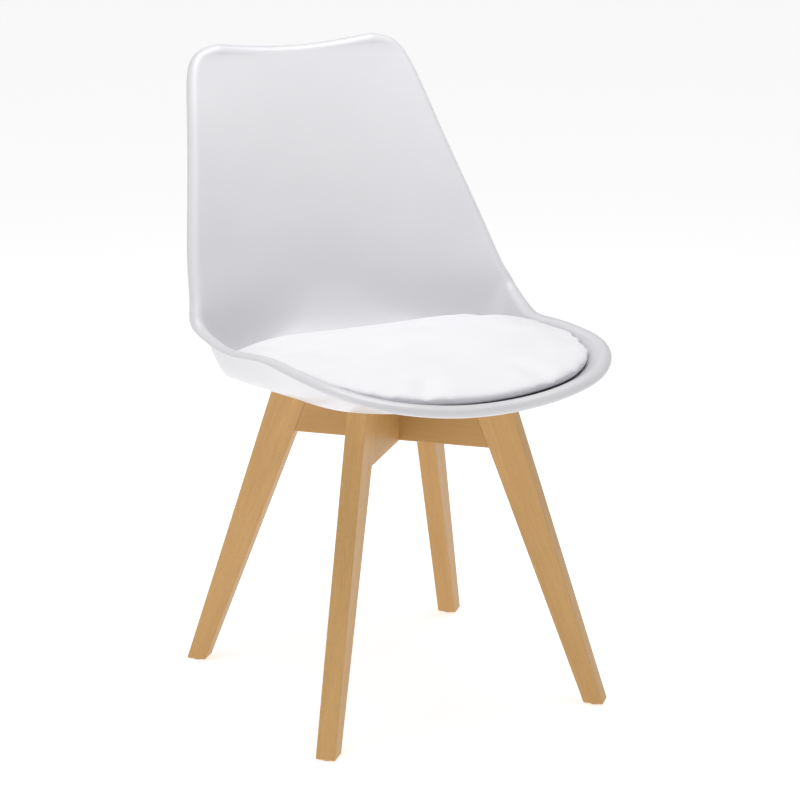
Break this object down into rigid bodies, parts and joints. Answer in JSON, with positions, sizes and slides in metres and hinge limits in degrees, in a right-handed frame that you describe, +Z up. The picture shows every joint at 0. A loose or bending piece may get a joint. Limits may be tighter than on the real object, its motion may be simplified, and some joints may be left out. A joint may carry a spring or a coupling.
{
  "type": "dining chair",
  "caption": "Side chair with a one-piece plastic bucket seat and back, an upholstered seat pad, and a splayed beech leg base on crossed rails.",
  "frame": {"origin": "middle of the chair's box in plan, at floor level", "axes": "+Z up; the sitter faces -Y; +X is to the right of someone looking at the chair's front"},
  "size_m": [0.4754, 0.5678, 0.8142],
  "materials": {
    "shell_plastic": "satin moulded polypropylene",
    "cover_leather": "smooth white imitation leather",
    "foam": "open-cell foam",
    "board_wood": "raw plywood",
    "beech": "clear satin lacquer on beech",
    "dowel_wood": "raw beech",
    "steel": "zinc plated",
    "brass": "machined",
    "glide": "moulded nylon"
  },
  "bodies": {
    "root": {"seat_shell": "shell_plastic", "cushion_cover": "cover_leather", "cushion_foam": "foam", "cushion_board": "board_wood", "cushion_screw_1": "steel", "cushion_screw_2": "steel", "cushion_screw_3": "steel", "cushion_screw_4": "steel", "rail_lower": "beech", "rail_upper": "beech", "leg_front_right": "beech", "dowel_front_right_1": "dowel_wood", "dowel_front_right_2": "dowel_wood", "frame_bolt_front_right": "steel", "flat_washer_front_right": "steel", "spring_washer_front_right": "steel", "threaded_insert_front_right": "brass", "floor_glide_front_right": "glide", "leg_front_left": "beech", "dowel_front_left_1": "dowel_wood", "dowel_front_left_2": "dowel_wood", "frame_bolt_front_left": "steel", "flat_washer_front_left": "steel", "spring_washer_front_left": "steel", "threaded_insert_front_left": "brass", "floor_glide_front_left": "glide", "leg_rear_left": "beech", "dowel_rear_left_1": "dowel_wood", "dowel_rear_left_2": "dowel_wood", "frame_bolt_rear_left": "steel", "flat_washer_rear_left": "steel", "spring_washer_rear_left": "steel", "threaded_insert_rear_left": "brass", "floor_glide_rear_left": "glide", "leg_rear_right": "beech", "dowel_rear_right_1": "dowel_wood", "dowel_rear_right_2": "dowel_wood", "frame_bolt_rear_right": "steel", "flat_washer_rear_right": "steel", "spring_washer_rear_right": "steel", "threaded_insert_rear_right": "brass", "floor_glide_rear_right": "glide"}
  },
  "joints": []
}
